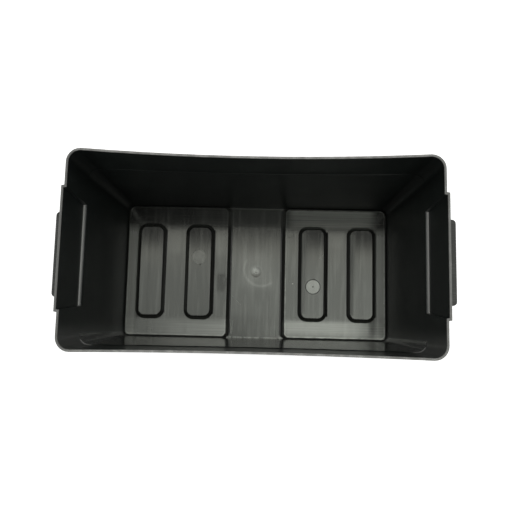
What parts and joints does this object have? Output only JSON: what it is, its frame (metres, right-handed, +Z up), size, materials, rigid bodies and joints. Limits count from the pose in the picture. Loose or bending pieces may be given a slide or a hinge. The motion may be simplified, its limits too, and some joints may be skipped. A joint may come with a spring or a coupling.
{
  "type": "battery box tub",
  "caption": "Open black moulded tub for one long battery, with raised floor pads, a pocket in each end wall and a lifting handle outside each pocket.",
  "frame": {"origin": "middle of the underside, on the plane that the tub stands on", "axes": "+X along the length, +Y towards the back wall, +Z up"},
  "size_m": [0.4344, 0.2042, 0.226],
  "materials": {
    "tub_plastic": "black polypropylene, satin and draw-polished, glossy at a low angle, pale along its cut rim",
    "handle_plastic": "black polypropylene, satin"
  },
  "bodies": {
    "root": {"tub": "tub_plastic", "left_handle": "handle_plastic", "right_handle": "handle_plastic"}
  },
  "joints": []
}
